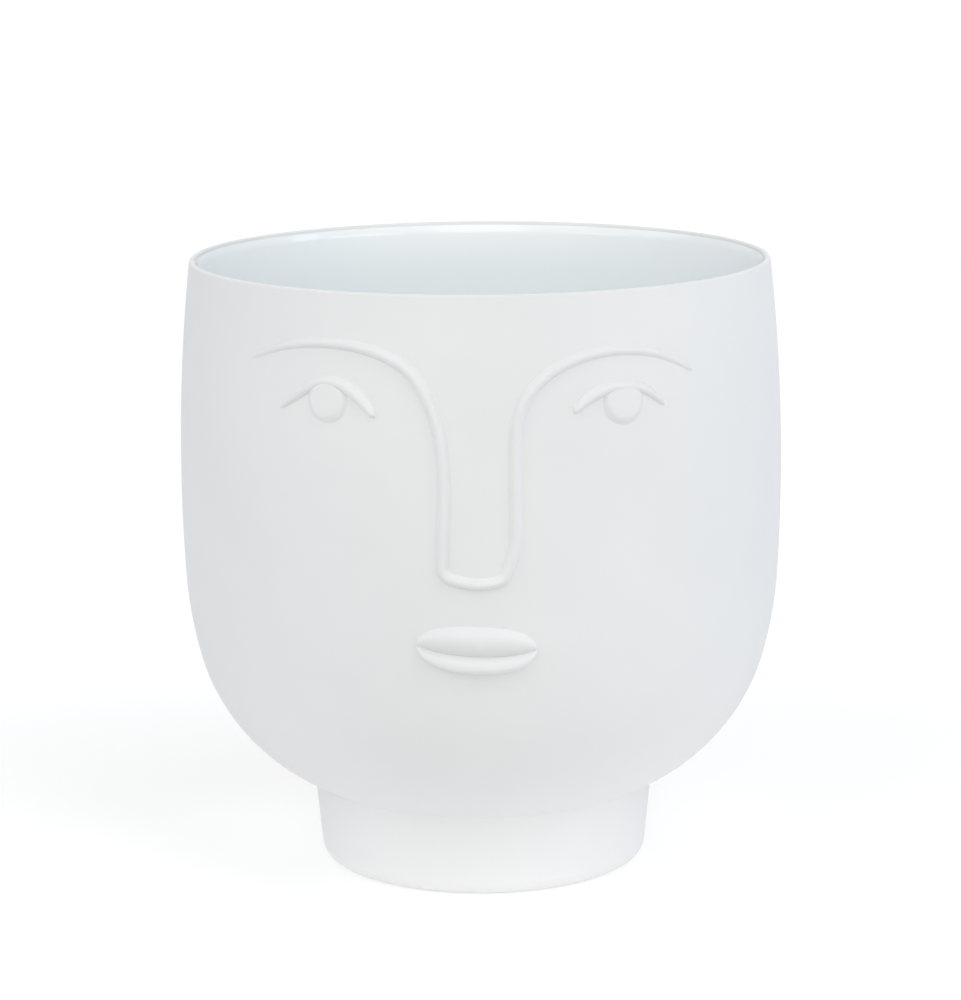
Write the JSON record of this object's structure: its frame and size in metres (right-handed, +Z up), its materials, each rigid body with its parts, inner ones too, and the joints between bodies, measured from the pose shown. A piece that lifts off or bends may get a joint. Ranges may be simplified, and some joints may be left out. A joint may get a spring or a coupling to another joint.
{
  "type": "head planter",
  "caption": "Round footed plant pot with a calm face in low relief on its front, matte white outside and glossy inside.",
  "frame": {"origin": "on the table, under the middle of the foot ring", "axes": "+Z up the pot's axis, the face looks along -Y, +X to the right of someone who looks at the face"},
  "size_m": [0.16, 0.1613, 0.163],
  "materials": {
    "bisque": "matte unglazed porcelain, very fine grain",
    "glaze": "clear glossy glaze over white porcelain"
  },
  "bodies": {
    "root": {"bowl": "bisque", "foot_ring": "bisque", "brow_and_nose_line": "bisque", "left_eyelid": "bisque", "right_eyelid": "bisque", "left_iris": "bisque", "right_iris": "bisque", "upper_lip": "bisque", "lower_lip": "bisque", "inner_glaze": "glaze"}
  },
  "joints": []
}
